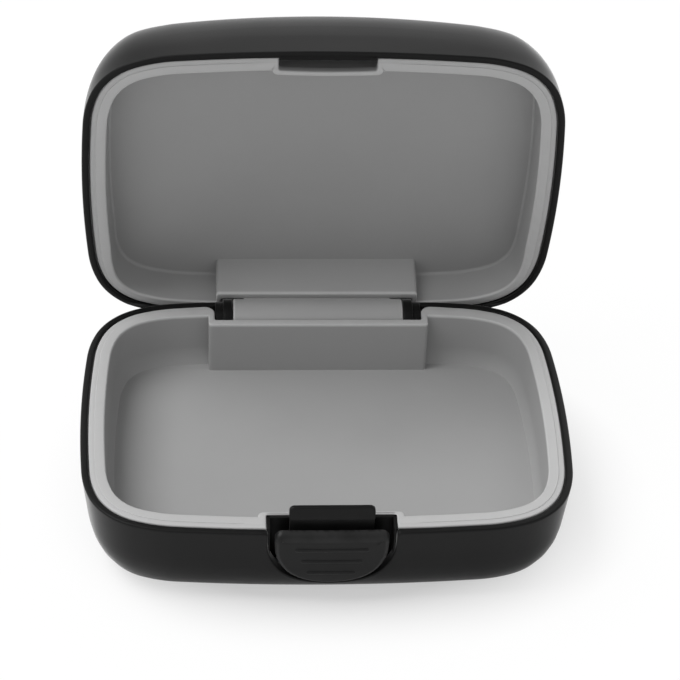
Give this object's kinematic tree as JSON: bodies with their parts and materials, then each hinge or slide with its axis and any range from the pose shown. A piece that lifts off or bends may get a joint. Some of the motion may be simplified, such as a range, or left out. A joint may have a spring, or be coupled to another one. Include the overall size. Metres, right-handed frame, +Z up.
{
  "type": "hearing aid case",
  "caption": "Pocket-size hinged hard case with rounded black shells, gray inner trays, a barrel hinge at the rear and a sprung push latch at the front, standing open.",
  "frame": {"origin": "centre of the base's flat underside", "axes": "+Z up, -Y towards the latch at the front, +Y towards the hinge, +X to the right seen from the front"},
  "size_m": [0.0828, 0.0774, 0.0729],
  "materials": {
    "shell_black": "satin moulded black plastic with a fine grain",
    "tray_gray": "matte moulded mid-gray plastic",
    "latch_black": "satin moulded black plastic, polished by touch",
    "steel": "plain drawn wire and ground pin"
  },
  "bodies": {
    "base": {"base_shell": "shell_black", "base_tray": "tray_gray", "hinge_pin": "steel", "latch_pin": "steel", "latch_spring": "steel"},
    "lid": {"lid_shell": "shell_black", "lid_tray": "tray_gray", "hinge_barrel": "tray_gray"},
    "latch": {"latch_button": "latch_black"}
  },
  "joints": [
    {"name": "lid_hinge", "type": "hinge", "parent": "base", "child": "lid", "pos_m": [0, 0.0282, 0.01385], "axis": [1, 0, 0], "range_deg": [-16, 84]},
    {"name": "latch_press", "type": "hinge", "parent": "base", "child": "latch", "pos_m": [0, -0.023, 0.0039], "axis": [-1, 0, 0], "range_deg": [-2.5, 1.5], "stiffness_Nm_per_rad": 0.25, "deforming": ["latch_spring"]}
  ]
}
